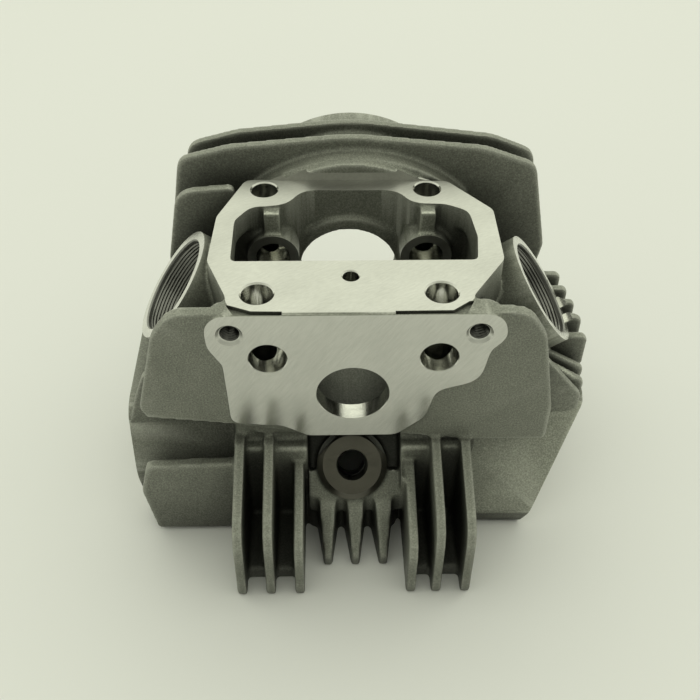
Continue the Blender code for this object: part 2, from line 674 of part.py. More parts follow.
def clip_profile():
    """The round wire ring in the guide's groove."""
    middle, height, wire = GUIDE_R + 0.05, sum(CLIP_GROOVE_S) / 2, 0.5
    return [(middle + p.x, height + p.y) for p in circle(wire, 6)]


def seal_profile():
    low = GUIDE_S[1] + FIT_GAP
    return [
        (GUIDE_BORE_R, low), (4.6, low), (4.6, low + 1.6), (4.0, low + 2.0), (4.0, low + 3.0),
        (3.4, low + 3.6), (GUIDE_BORE_R, low + 3.6),
    ]


def spring_seat_profile():
    low, high = POCKET_S + FIT_GAP, POCKET_S + FIT_GAP + 1.3
    inner, outer = GUIDE_R + 0.5, POCKET_R - 0.6
    return [(inner, low), (outer, low), (outer, high), (inner, high)]


def retainer_profile():
    low, high = RETAINER_S
    return [
        (4.0, low - 1.4), (5.5, low - 1.4), (5.8, low), (10.9, low), (11.2, low + 0.4),
        (11.2, low + 1.4), (10.6, low + 1.8), (7.4, low + 2.0), (6.6, high), (5.2, high),
    ]


def collet(name, first_degrees):
    """One half of a split cone that grips the stem groove."""
    low, high = RETAINER_S[0] - 1.2, RETAINER_S[1]
    groove_low, groove_high = COLLET_GROOVE_S
    bore, bead = STEM_R + 0.1, STEM_R - 0.25
    profile = [
        (bore, low), (3.6, low), (4.85, high), (bore, high), (bore, groove_high - 0.1),
        (bead, groove_high - 0.4), (bead, groove_low + 0.4), (bore, groove_low + 0.1),
    ]
    rings = []
    for i in range(COLLET_STEPS + 1):
        angle = math.radians(first_degrees + COLLET_SWEEP_DEG * i / COLLET_STEPS)
        rings.append([(r * math.cos(angle), r * math.sin(angle), s) for r, s in profile])
    return loft(name, rings)


def build_valve_set(kind):
    """The pieces of one valve, each with its origin on the valve's axis."""
    head_r = HEAD_R[kind]
    made = {
        "valve_seat": (lathe(kind + "_valve_seat", seat_profile(head_r)), "seat_steel"),
        "valve_guide": (lathe(kind + "_valve_guide", guide_profile(), 16), "guide_bronze"),
        "guide_clip": (lathe(kind + "_guide_clip", clip_profile(), 16), "spring_steel"),
        "stem_seal": (lathe(kind + "_stem_seal", seal_profile(), 16), "seal_rubber"),
        "spring_seat": (lathe(kind + "_spring_seat", spring_seat_profile(), 24), "seat_steel"),
        "outer_spring": (coil(kind + "_outer_spring", *SPRING_S, **OUTER_SPRING), "spring_steel"),
        "inner_spring": (coil(kind + "_inner_spring", *SPRING_S, **INNER_SPRING), "spring_steel"),
        "spring_retainer": (lathe(kind + "_spring_retainer", retainer_profile(), 24), "seat_steel"),
        "collet_a": (collet(kind + "_collet_a", 5), "seat_steel"),
        "collet_b": (collet(kind + "_collet_b", 185), "seat_steel"),
        "valve": (lathe(kind + "_valve", valve_profile(head_r), 20), "valve_steel"),
    }
    frame = valve_frame(kind)
    for obj, metal in made.values():
        obj.matrix_world = frame
        obj.data.materials.append(new_material(obj.name, metal))
    return [obj for obj, _ in made.values()]


def smooth_round_pieces(objects):
    for obj in objects:
        obj.data.shade_smooth()
        obj.data.set_sharp_from_angle(angle=math.radians(35))


clear_scene()
casting = build_casting()
for helper in list(bpy.data.objects):
    helper.location -= ORIGIN * MM
smooth_round_pieces(build_valve_set("intake") + build_valve_set("exhaust"))
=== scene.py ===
"""The looks of an air-cooled cylinder head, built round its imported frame.

The casting is made the way the real one is: a rounded, grainy blank with some stock left on its
machined faces, then milled flat, bored, chamfered and threaded. Shapes are in millimetres in the
design frame (+X intake side, -Y cam cover side, +Z from the deck to the top cover face) until
settle() moves them to the row frame, in metres.
"""

import json
import math

import bmesh
import bpy
import numpy as np
from mathutils import Matrix, Vector


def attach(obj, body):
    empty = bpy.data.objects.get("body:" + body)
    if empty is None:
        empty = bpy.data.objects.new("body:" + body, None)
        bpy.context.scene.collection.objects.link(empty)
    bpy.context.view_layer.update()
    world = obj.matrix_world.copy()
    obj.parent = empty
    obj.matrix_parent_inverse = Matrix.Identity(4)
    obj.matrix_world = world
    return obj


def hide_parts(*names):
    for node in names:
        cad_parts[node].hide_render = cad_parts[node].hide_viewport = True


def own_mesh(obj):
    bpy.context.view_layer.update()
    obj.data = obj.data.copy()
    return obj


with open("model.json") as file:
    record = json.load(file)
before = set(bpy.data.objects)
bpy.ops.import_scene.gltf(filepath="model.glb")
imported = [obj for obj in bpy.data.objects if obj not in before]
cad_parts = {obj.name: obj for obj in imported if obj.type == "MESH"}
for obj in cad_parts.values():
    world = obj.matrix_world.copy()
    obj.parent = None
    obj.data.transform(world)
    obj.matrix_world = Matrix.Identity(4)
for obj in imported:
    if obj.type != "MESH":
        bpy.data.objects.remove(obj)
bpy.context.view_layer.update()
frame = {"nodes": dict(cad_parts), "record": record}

MM = 0.001

# Datums of the design frame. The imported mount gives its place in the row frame.
CENTRE_X = 1.0
TOP_Z = 90.0
FRONT_FACE_Y = -35.2
BACK_FACE_Y = 62.0
mounts = {mount["name"]: mount for mount in frame["record"]["mounts"]}
cover_point = Vector(mounts["side_cover_face"]["pos_m"]) / MM
ORIGIN = Vector((CENTRE_X - cover_point.x, FRONT_FACE_Y - cover_point.y, 0))

# The blank: how it is remeshed, smoothed and thinned, and the stock left for machining.
VOXEL = 0.6
SMOOTH_STEPS = 7
BLANK_TRIANGLES = 130000
STOCK = 1.5
# How far the blank is filled behind a drilled mouth, and how far round it.
MOUTH_FILL = 5.0
MOUTH_MARGIN = 0.8
# Points closer to a machined plane than this lie on it, and points closer to each other are one.
ON_PLANE = 0.02
SAME_POINT = 0.002

# Machining. Every cutter that starts outside the metal starts this far outside it.
CLEAR = 2.0
FACING_HEIGHT = 2.2
DECK_HALF = (90, 80)
FRONT_PLATE_MIDDLE = (1.5, 65.4)
FRONT_PLATE_HALF = (46, 24.9)
HOUSING_HALF = (48, 48)
FLANGE_HALF = (45, 24.5)
FINE_PITCH = 1.0

# Bores and holes.
CAM_Z = 58.9
CAM_FRONT_BORE_R = 10.65
ROCKER_XS = (-23.4, 25.6)
ROCKER_Z = 73.4
ROCKER_BORE_R = 5.45
ROCKER_END_Y = 24.0
ROCKER_BOSS_Y = 12.0
ROCKER_BOSS_R = 8.3
RIB_HALF_T = 2.8
RIB_FRONT_Y = 13.6
CAM_BORE_DEPTH = 11.0
M6_RADII = (2.6, 3.05)
M6_DEPTHS = (10, 14)
SINK = 0.8
CHAMFERS = {"oil_hole": 0.35, "cam_bore": 0.2, "stud_hole": 0.45, "rocker_bore": 0.25}
STUD_HOLES = ((-26.0, -25.8, 4.55), (26.0, -25.8, 4.55), (-26.0, 25.8, 4.1), (26.0, 25.8, 4.1))
OIL_HOLE = (0.5, -18.2, 2.35)
OIL_HOLE_DEPTH = 15.5
FRONT_BOLTS = ((-33.7, 82.6), (36.2, 82.6))
PORT_Z = 18.5
PORT_END_X = 19.0
PORT_CLEAR = 8.0
PORTS = {
    "intake": {"side": 1, "foot": 57.2, "slope": 0.47, "radius": 10.55, "bolt_y": 24.0},
    "exhaust": {"side": -1, "foot": -65.6, "slope": -0.125, "radius": 9.55, "bolt_y": 22.5},
}
TAPPETS = {
    "intake": {"face": Vector((61.4, 0, 69.9)), "lift_deg": 35.0, "side": 1, "ring_r": 18.65},
    "exhaust": {"face": Vector((-54.3, 0, 72.6)), "lift_deg": 37.0, "side": -1, "ring_r": 18.85},
}
TAPPET_BORE_R = 14.95
TAPPET_THREAD = {"height": 0.35, "depths": (9, 22), "chamfer": 0.4, "lead": 1.6}
PLUG_FACE = Vector((CENTRE_X, -38.6, 30.6))
PLUG_OUT = Vector((0, -math.sqrt(0.5), math.sqrt(0.5)))
PLUG_UP = Vector((0, math.sqrt(0.5), math.sqrt(0.5)))
PLUG_BOSS_R = 11.0
PLUG_FLAT_DISTANCE = 9.5
PLUG_FLAT_HALF = (3.2, 6)
PLUG_RADII = (4.5, 4.85)
PLUG_DEPTHS = (13, 36)
PLUG_FACE_R = 11.7
# The plug boss's bevelled rim: where the bevel starts, how far out it goes and how low it ends.
PLUG_RIM_R = 9.2
PLUG_RIM_REACH = 0.9
PLUG_RIM_DROP = 2.4
HOUSING_X = 2.0
SPROCKET_CHAMBER_R = 31.55
SPROCKET_CHAMBER_DEPTH = 27.55
COVER_BOLT_RADIUS = 35.5
COVER_BOLT_ANGLES = (25.0, 155.0, 270.0)
DOME_R = 29.15
DOME_CENTRE_Z = -13.1

# The top cover face's outline, a little outside its edge.
TOP_FACE = (
    (-32.7, 31.5), (-41.3, 11.4), (-42.5, -11.2), (-34.2, -31.6), (-27.6, -34.7), (28.6, -34.9),
    (34.2, -30.5), (47.0, -11.3), (47.0, 14.4), (33.4, 30.4),
)
# Shallow steps beside the top face's front corners, in plan.
CORNER_STEPS = (
    ((-34.4, -30.6), (-33.3, -30.9), (-27.4, -33.4), (-18.8, -33.6), (-18.8, -34.9), (-32, -34.9)),
    ((34.6, -29.6), (33.3, -29.8), (28.4, -33.6), (12.4, -33.7), (12.4, -34.9), (32, -34.9)),
)
CORNER_STEP_Z = 88.8

# The intake duct's slanting front, as a point and a direction outwards.
DUCT_FRONT = (Vector((60, -20.8, 40.5)), Vector((0, -0.874, 0.485)))

# Valve sets, along each valve's own axis from its face (s = 0) to its tip.
VALVE_TILT_DEG = 30.0
VALVE_FACE_DISTANCE = 26.6
HEAD_R = {"intake": 11.5, "exhaust": 10.0}
STEM_R = 2.5
VALVE_LENGTH = 64.7
SEAT_S = (0.9, 6.8)
SEAT_WALL = 1.9
THROAT_WALL = 1.55
PRESS_GAP = 0.25
GUIDE_S = (17.5, 42.0)
GUIDE_R = 5.0
GUIDE_BORE_R = 2.6
POCKET_S = 33.0
POCKET_R = 12.65
SPRING_S = (34.9, 58.3)
# Mean radius, wire radius and number of turns.
COILS = {"outer": (9.5, 1.3, 5.5), "inner": (6.9, 0.8, 7)}
RETAINER_S = (58.6, 61.6)
COLLET_GROOVE_S = (60.0, 61.2)
CLIP_GROOVE_S = (35.4, 36.8)

# Casting skin: its tint, and how far from a corner the painted shade reaches.
SKIN_TINT = (0.97, 1.0, 0.90)
PAINTED_SHADE_REACH = 36

# The studio floor, in metres.
FLOOR_HALF = 6.0
FLOOR_Z = -0.0002

# The reference camera: its place, the way it faces, and its lens on a 36 mm sensor.
CAMERA_PLACE = Vector((-6.629, -230.025, 260.603))
CAMERA_DOWN_DEG = 43.316
CAMERA_YAW_DEG = 1.939
CAMERA_ROLL_DEG = 0.770
SENSOR_MM = 36
LENS_MM = 48.80

# The studio sky: its strength is SKY_LEVEL plus SKY_SLOPE along a direction.
SKY_COLOUR = (0.97, 1.0, 0.83, 1)
SKY_LEVEL = 0.60
SKY_SLOPE = (0.0, 0.62, 0.50)
SKY_LEAST = 0.42


# ---------------------------------------------------------------- materials


def principled(name, metallic, roughness):
    """A new material, its shader, and short calls that add a node and a link."""
    material = bpy.data.materials.new(name)
    material.use_nodes = True
    tree = material.node_tree
    shader = tree.nodes["Principled BSDF"]
    shader.inputs["Metallic"].default_value = metallic
    shader.inputs["Roughness"].default_value = roughness
    return material, shader, tree.nodes.new, tree.links.new


def object_coordinates(add, link, stretch=(1, 1, 1), turn=(0, 0, 0)):
    """Object coordinates, turned and then stretched."""
    place = add("ShaderNodeTexCoord")
    mapping = add("ShaderNodeMapping")
    mapping.vector_type = "TEXTURE"
    mapping.inputs["Rotation"].default_value = turn
    mapping.inputs["Scale"].default_value = stretch
    link(place.outputs["Object"], mapping.inputs["Vector"])
    return mapping.outputs["Vector"]


def noise(add, link, vector, scale, detail=3.0, roughness=0.55):
    node = add("ShaderNodeTexNoise")
    node.inputs["Scale"].default_value = scale
    node.inputs["Detail"].default_value = detail
    node.inputs["Roughness"].default_value = roughness
    link(vector, node.inputs["Vector"])
    return node.outputs["Fac"]


def ramp(add, link, value, stops):
    """A colour ramp through (position, colour) stops."""
    node = add("ShaderNodeValToRGB")
    elements = node.color_ramp.elements
    while len(elements) < len(stops):
        elements.new(0.5)
    for element, (position, colour) in zip(elements, stops):
        element.position = position
        element.color = (*colour, 1)
    link(value, node.inputs["Fac"])
    return node.outputs["Color"]


def spread(add, link, value, low, high, from_low=0.0, from_high=1.0):
    node = add("ShaderNodeMapRange")
    node.inputs["From Min"].default_value = from_low
    node.inputs["From Max"].default_value = from_high
    node.inputs["To Min"].default_value = low
    node.inputs["To Max"].default_value = high
    link(value, node.inputs["Value"])
    return node.outputs["Result"]


def blend_colours(add, link, kind, factor, first, second):
    node = add("ShaderNodeMix")
    node.data_type = "RGBA"
    node.blend_type = kind
    node.inputs["Factor"].default_value = factor
    link(first, node.inputs["A"])
    link(second, node.inputs["B"])
    return node.outputs["Result"]


def bump(add, link, height, strength, distance_mm, normal=None):
    node = add("ShaderNodeBump")
    node.inputs["Strength"].default_value = strength
    node.inputs["Distance"].default_value = distance_mm * MM
    link(height, node.inputs["Height"])
    if normal:
        link(normal, node.inputs["Normal"])
    return node.outputs["Normal"]


def grey(value, warmth=0.0):
    """The grey of the alloy, or a browner one."""
    return (value * (1.0 + warmth), value, value * (0.97 - 2 * warmth))


def cast_material(name, value, grain_depth, roughness):
    """Casting skin: fine grain, soft mottling, edges paler from wear and a painted highlight, and
    painted shade darkening the corners and recesses.
    """
    material, shader, add, link = principled(name, 0.35, 0.55)
    place = object_coordinates(add, link)
    grain = noise(add, link, place, 2100, 3.0, 0.7)
    mottle = noise(add, link, place, 90, 4.0, 0.6)
    shares = (0.66, 1.0, 1.55)
    dark, middle, light = (tuple(value * share * tint for tint in SKIN_TINT) for share in shares)
    skin = ramp(add, link, grain, [(0.32, dark), (0.50, middle), (0.70, light)])
    cloud = ramp(add, link, mottle, [(0.3, grey(0.90)), (0.7, grey(1.08))])
    colour = blend_colours(add, link, "MULTIPLY", 1.0, skin, cloud)
    shape = add("ShaderNodeNewGeometry")
    # Edges paler partly from wear and partly a painted highlight, where rounded edges catch the light.
    worn_and_lit_edge = ramp(add, link, shape.outputs["Pointiness"], [(0.505, grey(0)), (0.57, grey(0.24))])
    colour = blend_colours(add, link, "ADD", 1.0, colour, worn_and_lit_edge)
    # Painted shade: ambient occlusion darkens the skin colour in corners, recesses and fin gaps, where
    # shade falls.
    corner = add("ShaderNodeAmbientOcclusion")
    corner.samples = 6
    corner.inputs["Distance"].default_value = PAINTED_SHADE_REACH * MM
    painted_shade = ramp(add, link, corner.outputs["AO"], [(0.12, grey(0.14)), (0.82, grey(1.0))])
    colour = blend_colours(add, link, "MULTIPLY", 1.0, colour, painted_shade)
    link(colour, shader.inputs["Base Color"])
    link(spread(add, link, grain, *roughness), shader.inputs["Roughness"])
    fine = bump(add, link, grain, grain_depth, 0.08)
    link(bump(add, link, mottle, 0.25, 0.25, fine), shader.inputs["Normal"])
    return material


def machined_material(name, value, turn, stretch, roughness=(0.2, 0.36), marks=0.12):
    """Bright machined metal with tool marks: noise stretched along the tool's way."""
    material, shader, add, link = principled(name, 1.0, 0.3)
    place = object_coordinates(add, link, stretch, turn)
    fine = noise(add, link, place, 1300, 3.0, 0.6)
    broad = noise(add, link, place, 110, 3.0, 0.5)
    even = noise(add, link, object_coordinates(add, link), 60, 3.0, 0.5)
    low, high = grey(value * 0.93), grey(value * 1.05)
    colour = ramp(add, link, fine, [(0.32, low), (0.66, high)])
    cloud = ramp(add, link, even, [(0.32, grey(0.97)), (0.68, grey(1.05))])
    link(blend_colours(add, link, "MULTIPLY", 1.0, colour, cloud), shader.inputs["Base Color"])
    link(spread(add, link, broad, *roughness, 0.3, 0.7), shader.inputs["Roughness"])
    lines = bump(add, link, fine, marks, 0.02)
    link(bump(add, link, broad, 0.06, 0.08, lines), shader.inputs["Normal"])
    return material


def faced_material(name, low, high, centre, out, roughness, rings=700, depth=0.25):
    """A face turned about one axis: fine tool marks in rings round its centre."""
    material, shader, add, link = principled(name, 1.0, roughness)
    place = add("ShaderNodeTexCoord")
    mapping = add("ShaderNodeMapping")
    mapping.vector_type = "TEXTURE"
    mapping.inputs["Location"].default_value = (centre - ORIGIN) * MM
    mapping.inputs["Rotation"].default_value = out.to_track_quat("Z", "Y").to_euler()
    link(place.outputs["Object"], mapping.inputs["Vector"])
    wave = add("ShaderNodeTexWave")
    wave.wave_type = "RINGS"
    wave.rings_direction = "Z"
    wave.inputs["Scale"].default_value = rings
    wave.inputs["Distortion"].default_value = 1.5
    wave.inputs["Detail"].default_value = 2.0
    link(mapping.outputs["Vector"], wave.inputs["Vector"])
    marks = wave.outputs["Fac"]
    cloud = noise(add, link, place.outputs["Object"], 160, 4.0, 0.6)
    turned = ramp(add, link, marks, [(0.1, low), (0.9, high)])
    tint = ramp(add, link, cloud, [(0.3, grey(0.9)), (0.7, grey(1.08))])
    link(blend_colours(add, link, "MULTIPLY", 1.0, turned, tint), shader.inputs["Base Color"])
    link(spread(add, link, cloud, roughness * 0.8, roughness * 1.2), shader.inputs["Roughness"])
    link(bump(add, link, marks, depth, 0.03), shader.inputs["Normal"])
    return material


def metal_material(name, low, high, roughness, metallic=1.0, scale=400):
    """Plain turned or drawn metal, or rubber, with a faint grain."""
    material, shader, add, link = principled(name, metallic, roughness)
    place = object_coordinates(add, link)
    grain = noise(add, link, place, scale, 4.0, 0.6)
    link(ramp(add, link, grain, [(0.3, low), (0.7, high)]), shader.inputs["Base Color"])
    link(spread(add, link, grain, roughness * 0.8, roughness * 1.25), shader.inputs["Roughness"])
    link(bump(add, link, grain, 0.15, 0.03), shader.inputs["Normal"])
    return material


def tappet_direction(kind):
    tappet = TAPPETS[kind]
    lift = math.radians(tappet["lift_deg"])
    return Vector((tappet["side"] * math.cos(lift), 0, math.sin(lift)))


CAST = cast_material("cast_aluminium", 0.205, 0.6, (0.62, 0.44))
CAST_SMOOTH = cast_material("cast_smooth", 0.34, 0.2, (0.46, 0.34))
TOP_MILLED = machined_material("top_milled", 0.52, (0, 0, 0.5), (3, 0.7, 1), (0.36, 0.46), 0.06)
FRONT_MILLED = machined_material("front_milled", 0.58, (0, -0.95, 0), (5, 1, 0.5), (0.14, 0.24), 0.10)
FACED = machined_material("faced", 0.60, (0, 0, 0), (3, 3, 3), (0.26, 0.4))
BORED = machined_material("bored", 0.68, (0, 0, 0), (1, 0.35, 1), (0.14, 0.26), 0.2)
# Painted shade: the tappet bore threads are made dark so the bore interiors read as shaded.
SHADED_TAPPET_THREAD = machined_material("threaded", 0.22, (0, 0, 0), (2, 2, 2), (0.3, 0.45))
# Painted shade: the threads of tapped holes are made very dark so the hole interiors read as shaded.
SHADED_DEEP_THREAD = machined_material("shaded_deep_thread", 0.11, (0, 0, 0), (2, 2, 2), (0.22, 0.32))
CHAMBER = machined_material("chamber_machined", 0.5, (0, 0, 0), (3, 3, 0.4), (0.25, 0.4))
PLUG_FACED = faced_material(
    "plug_faced", grey(0.08, 0.05), grey(0.12, 0.05), PLUG_FACE, PLUG_OUT, 0.40, 900, 0.2,
)
PLUG_RIM = faced_material(
    "plug_rim", grey(0.12, 0.04), grey(0.17, 0.04), PLUG_FACE, PLUG_OUT, 0.34, 900, 0.2,
)
BOSS_FACED = machined_material("boss_faced", 0.30, (0, 0, 0), (2, 2, 2), (0.35, 0.5))
RING_FACED = {
    kind: faced_material(
        kind + "_ring_faced", grey(0.66), grey(0.76), tappet["face"], tappet_direction(kind), 0.22,
    )
    for kind, tappet in TAPPETS.items()
}
METALS = {
    "valve_steel": metal_material("valve_steel", (0.26, 0.25, 0.24), (0.36, 0.35, 0.34), 0.26),
    "seat_steel": metal_material("seat_steel", (0.34, 0.33, 0.32), (0.46, 0.45, 0.43), 0.3),
    "guide_bronze": metal_material("guide_bronze", (0.42, 0.28, 0.13), (0.60, 0.42, 0.22), 0.32),
    "spring_steel": metal_material("spring_steel", (0.12, 0.13, 0.13), (0.22, 0.23, 0.23), 0.28),
    "seal_rubber": metal_material("seal_rubber", (0.02, 0.03, 0.025), (0.04, 0.06, 0.05), 0.6, 0.0),
}


# ---------------------------------------------------------------- solids


def object_from(name, bm, material):
    bmesh.ops.recalc_face_normals(bm, faces=bm.faces)
    mesh = bpy.data.meshes.new(name)
    bm.to_mesh(mesh)
    bm.free()
    mesh.materials.append(material)
    obj = bpy.data.objects.new(name, mesh)
    bpy.context.scene.collection.objects.link(obj)
    return obj


def loft(name, rings, material):
    """A closed solid through rings of the same number of points, with flat ends."""
    bm = bmesh.new()
    rows = [[bm.verts.new(point) for point in ring] for ring in rings]
    count = len(rows[0])
    for low, high in zip(rows, rows[1:]):
        for i in range(count):
            j = (i + 1) % count
            bm.faces.new((low[i], low[j], high[j], high[i]))
    bm.faces.new(rows[0])
    bm.faces.new(rows[-1])
    return object_from(name, bm, material)


def circle(radius, count):
    steps = [2 * math.pi * i / count for i in range(count)]
    return [Vector((radius * math.cos(a), radius * math.sin(a), 0)) for a in steps]


def axis_turn(direction):
    return Vector(direction).normalized().to_track_quat("Z", "Y")


def bored(name, mouth, into, stations, material, count=64):
    """A round cutter through (depth, radius) stations, measured from a hole's mouth."""
    turn = axis_turn(into)
    rings = []
    for depth, radius in stations:
        centre = Vector(mouth) + turn @ Vector((0, 0, depth))
        rings.append([centre + turn @ p for p in circle(radius, count)])
    return loft(name, rings, material)


def hole(name, mouth, into, radius, depth, chamfer, material, through=False, count=64):
    """A plain hole with a chamfered mouth, and a chamfered far end if it goes through."""
    wide = radius + chamfer + CLEAR
    stations = [(-CLEAR, wide), (chamfer, radius)]
    if through:
        stations += [(depth - chamfer, radius), (depth + CLEAR, wide)]
    else:
        stations += [(depth, radius), (depth + radius * 0.5, radius * 0.1)]
    return bored(name, mouth, into, stations, material, count)


def threaded(name, mouth, into, radii, pitch, depths, chamfer, material, count=24, lead=0.0):
    """A tapped hole: a helical groove between its two radii, then a plain bore.

    A station is (depth, kind), where kind is 1 in the thread, 0 in a plain bore and -1 at the tip.
    The first stretch, lead, is turned out to the thread's major radius.
    """
    minor, major = radii
    thread_depth, full_depth = depths
    per_pitch = 6
    turn = axis_turn(into)
    rows = round(thread_depth / pitch * per_pitch)
    stations = [(-CLEAR, 0.0)] + [(thread_depth * row / rows, 1.0) for row in range(rows + 1)]
    stations += [(thread_depth + 0.1, 0.0), (full_depth, 0.0), (full_depth + minor * 0.5, -1.0)]
    rings = []
    for depth, kind in stations:
        ring = []
        for i in range(count):
            phase = (depth / pitch - i / count) % 1
            ridge = min(1.25 * (1 - abs(2 * phase - 1)), 1)
            if depth < lead:
                ridge = 1
            radius = minor + (major - minor) * ridge * max(kind, 0)
            radius = max(radius, major + chamfer - depth)
            if kind < 0:
                radius = minor * 0.1
            angle = 2 * math.pi * i / count
            place = Vector((radius * math.cos(angle), radius * math.sin(angle), depth))
            ring.append(Vector(mouth) + turn @ place)
        rings.append(ring)
    return loft(name, rings, material)


def tapped_m6(name, mouth, into):
    """A tapped M6 hole and the bright countersink at its mouth."""
    major = M6_RADII[1]
    sink = [(-CLEAR, major + SINK + CLEAR), (SINK, major), (SINK + 0.3, 0.5)]
    return [
        threaded(name, mouth, into, M6_RADII, FINE_PITCH, M6_DEPTHS, 0.1, SHADED_DEEP_THREAD),
        bored(name + "_sink", mouth, into, sink, FACED),
    ]


def prism(name, outline, low, high, material):
    """An upright cutter over an outline in plan."""
    return loft(name, [[(x, y, z) for x, y in outline] for z in (low, high)], material)


def slab(name, centre, out, across, half_sizes, material, thick=4.0):
    """A flat cutter that stands on a machined plane and takes off what is outside it."""
    out, across = Vector(out).normalized(), Vector(across).normalized()
    along = out.cross(across)
    half_across, half_along = half_sizes
    rings = []
    for height in (0, thick):
        middle = Vector(centre) + out * height
        corners = ((-1, -1), (1, -1), (1, 1), (-1, 1))
        rings.append([middle + across * half_across * a + along * half_along * b for a, b in corners])
    return loft(name, rings, material)


def turned(name, profile, material, count=64):
    """A solid of revolution about Z. The profile is a closed list of (radius, height)."""
    bm = bmesh.new()
    rows = []
    for radius, height in profile:
        if radius == 0:
            rows.append([bm.verts.new((0, 0, height))] * count)
        else:
            ring = [bm.verts.new(p + Vector((0, 0, height))) for p in circle(radius, count)]
            rows.append(ring)
    for low, high in zip(rows, rows[1:] + rows[:1]):
        for i in range(count):
            j = (i + 1) % count
            face = list(dict.fromkeys((low[i], low[j], high[j], high[i])))
            if len(face) > 2:
                bm.faces.new(face)
    return object_from(name, bm, material)


def bake_modifiers(obj):
    graph = bpy.context.evaluated_depsgraph_get()
    mesh = bpy.data.meshes.new_from_object(obj.evaluated_get(graph))
    obj.modifiers.clear()
    obj.data = mesh


def carve(obj, cutters):
    """Takes every cutter out of obj. The new faces keep the cutter's material."""
    tools = bpy.data.collections.new("cutters")
    bpy.context.scene.collection.children.link(tools)
    for cutter in cutters:
        bpy.context.scene.collection.objects.unlink(cutter)
        tools.objects.link(cutter)
    modifier = obj.modifiers.new("machining", "BOOLEAN")
    modifier.operation = "DIFFERENCE"
    modifier.operand_type = "COLLECTION"
    modifier.collection = tools
    modifier.solver = "MANIFOLD"
    modifier.material_mode = "TRANSFER"
    bake_modifiers(obj)
    for cutter in cutters:
        bpy.data.objects.remove(cutter, do_unlink=True)
    bpy.data.collections.remove(tools)


def settle(obj, matrix=None):
    """Moves a finished design-frame piece to its place in the row frame."""
    if matrix:
        obj.data.transform(matrix)
    obj.data.transform(Matrix.Scale(MM, 4) @ Matrix.Translation(-ORIGIN))
    return obj


def shade(obj, sharp_deg=32):
    obj.data.shade_smooth()
    obj.data.set_sharp_from_angle(angle=math.radians(sharp_deg))


# ---------------------------------------------------------------- the casting


def flange(kind):
    """Centre and outward direction of a port's flange face."""
    port = PORTS[kind]
    centre = Vector((port["foot"] + port["slope"] * PORT_Z, 0, PORT_Z))
    return centre, Vector((1, 0, -port["slope"])).normalized() * port["side"]


def cover_bolts():
    """Centres of the sprocket cover's bolts."""
    found = []
    for degrees in COVER_BOLT_ANGLES:
        angle = math.radians(degrees)
        x = HOUSING_X + COVER_BOLT_RADIUS * math.cos(angle)
        found.append((x, CAM_Z + COVER_BOLT_RADIUS * math.sin(angle)))
    return found


def valve_matrix(kind):
    """Design-frame matrix of one valve's axis: origin at the valve face, +Z to the tip."""
    side = 1 if kind == "intake" else -1
    turn = Matrix.Rotation(math.radians(VALVE_TILT_DEG) * side, 4, "Y")
    foot = Vector((CENTRE_X, 0, DOME_CENTRE_Z)) + turn @ Vector((0, 0, VALVE_FACE_DISTANCE))
    return Matrix.Translation(foot) @ turn


def machined_planes():
    """(point, outward direction, reach) of each machined face."""
    planes = [
        (Vector((0, 0, 0)), Vector((0, 0, -1)), 150),
        (Vector((0, 0, TOP_Z)), Vector((0, 0, 1)), 60),
        (Vector((0, FRONT_FACE_Y, 65)), Vector((0, -1, 0)), 60),
        (Vector((HOUSING_X, BACK_FACE_Y, CAM_Z)), Vector((0, 1, 0)), 50),
        (PLUG_FACE, PLUG_OUT, 12),
    ]
    for x in ROCKER_XS:
        planes.append((Vector((x, ROCKER_BOSS_Y, ROCKER_Z)), Vector((0, -1, 0)), ROCKER_BOSS_R + 0.2))
    for kind in TAPPETS:
        planes.append((TAPPETS[kind]["face"], tappet_direction(kind), 20))
        planes.append((*flange(kind), 50))
    return planes


def leave_stock(mesh):
    """Moves each machined face outwards, so that the rounded cast edge lies outside it."""
    points = np.empty(len(mesh.vertices) * 3)
    mesh.vertices.foreach_get("co", points)
    points = points.reshape(-1, 3)
    moved = points.copy()
    for point, out, reach in machined_planes():
        away = points - np.array(point)
        on_face = np.abs(away @ np.array(out)) < ON_PLANE
        near = np.linalg.norm(away, axis=1) < reach
        moved[on_face & near] += np.array(out) * STOCK
    mesh.vertices.foreach_set("co", moved.ravel())


def drilled_mouths():
    """(point, outward direction, radius) of every hole drilled into a machined face."""
    up, front, back = Vector((0, 0, 1)), Vector((0, -1, 0)), Vector((0, 1, 0))
    mouths = [
        (Vector((*OIL_HOLE[:2], TOP_Z)), up, OIL_HOLE[2]),
        (Vector((CENTRE_X, FRONT_FACE_Y, CAM_Z)), front, CAM_FRONT_BORE_R),
        (PLUG_FACE, PLUG_OUT, PLUG_RADII[1]),
    ]
    for x, y, radius in STUD_HOLES:
        mouths += [(Vector((x, y, TOP_Z)), up, radius), (Vector((x, y, 0)), -up, radius)]
    for x in ROCKER_XS:
        mouths.append((Vector((x, FRONT_FACE_Y, ROCKER_Z)), front, ROCKER_BORE_R))
        mouths.append((Vector((x, ROCKER_BOSS_Y, ROCKER_Z)), front, ROCKER_BORE_R))
    mouths += [(Vector((x, FRONT_FACE_Y, z)), front, M6_RADII[1]) for x, z in FRONT_BOLTS]
    mouths += [(Vector((x, BACK_FACE_Y, z)), back, M6_RADII[1]) for x, z in cover_bolts()]
    for kind in TAPPETS:
        mouths.append((TAPPETS[kind]["face"], tappet_direction(kind), TAPPET_BORE_R))
        centre, out = flange(kind)
        bolt_y = PORTS[kind]["bolt_y"]
        mouths += [(centre + Vector((0, y, 0)), out, M6_RADII[1]) for y in (-bolt_y, bolt_y)]
    return mouths


